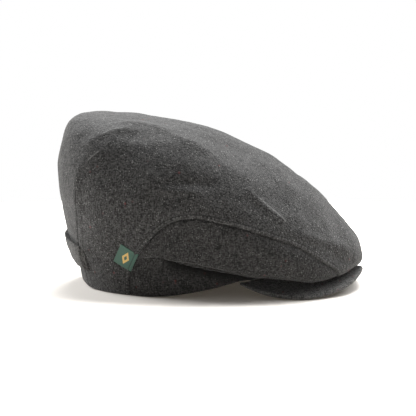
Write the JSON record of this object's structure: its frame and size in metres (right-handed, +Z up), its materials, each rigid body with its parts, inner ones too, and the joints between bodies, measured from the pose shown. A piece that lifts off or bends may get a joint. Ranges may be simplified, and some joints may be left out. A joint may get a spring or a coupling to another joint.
{
  "type": "tweed flat cap",
  "caption": "Flat cap in dark grey tweed with a full rounded crown folding over a short stiff peak, low side panels, a strap round the back and a small side label.",
  "frame": {"origin": "on the surface the cap rests on, under the middle of its length and width", "axes": "+X toward the peak (the wearer's front), +Y to the wearer's left, +Z up toward the crown's top"},
  "size_m": [0.2748, 0.204, 0.1538],
  "materials": {
    "crown_tweed": "matt",
    "side_tweed": "matt",
    "peak_tweed": "matt",
    "strap_tweed": "matt",
    "label_weave": "matt",
    "band_cloth": "matt"
  },
  "bodies": {
    "root": {"main_panel": "crown_tweed", "side_panel_right": "side_tweed", "side_panel_left": "side_tweed", "peak": "peak_tweed", "back_strap": "strap_tweed", "label_tab": "label_weave", "sweatband": "band_cloth"}
  },
  "joints": []
}
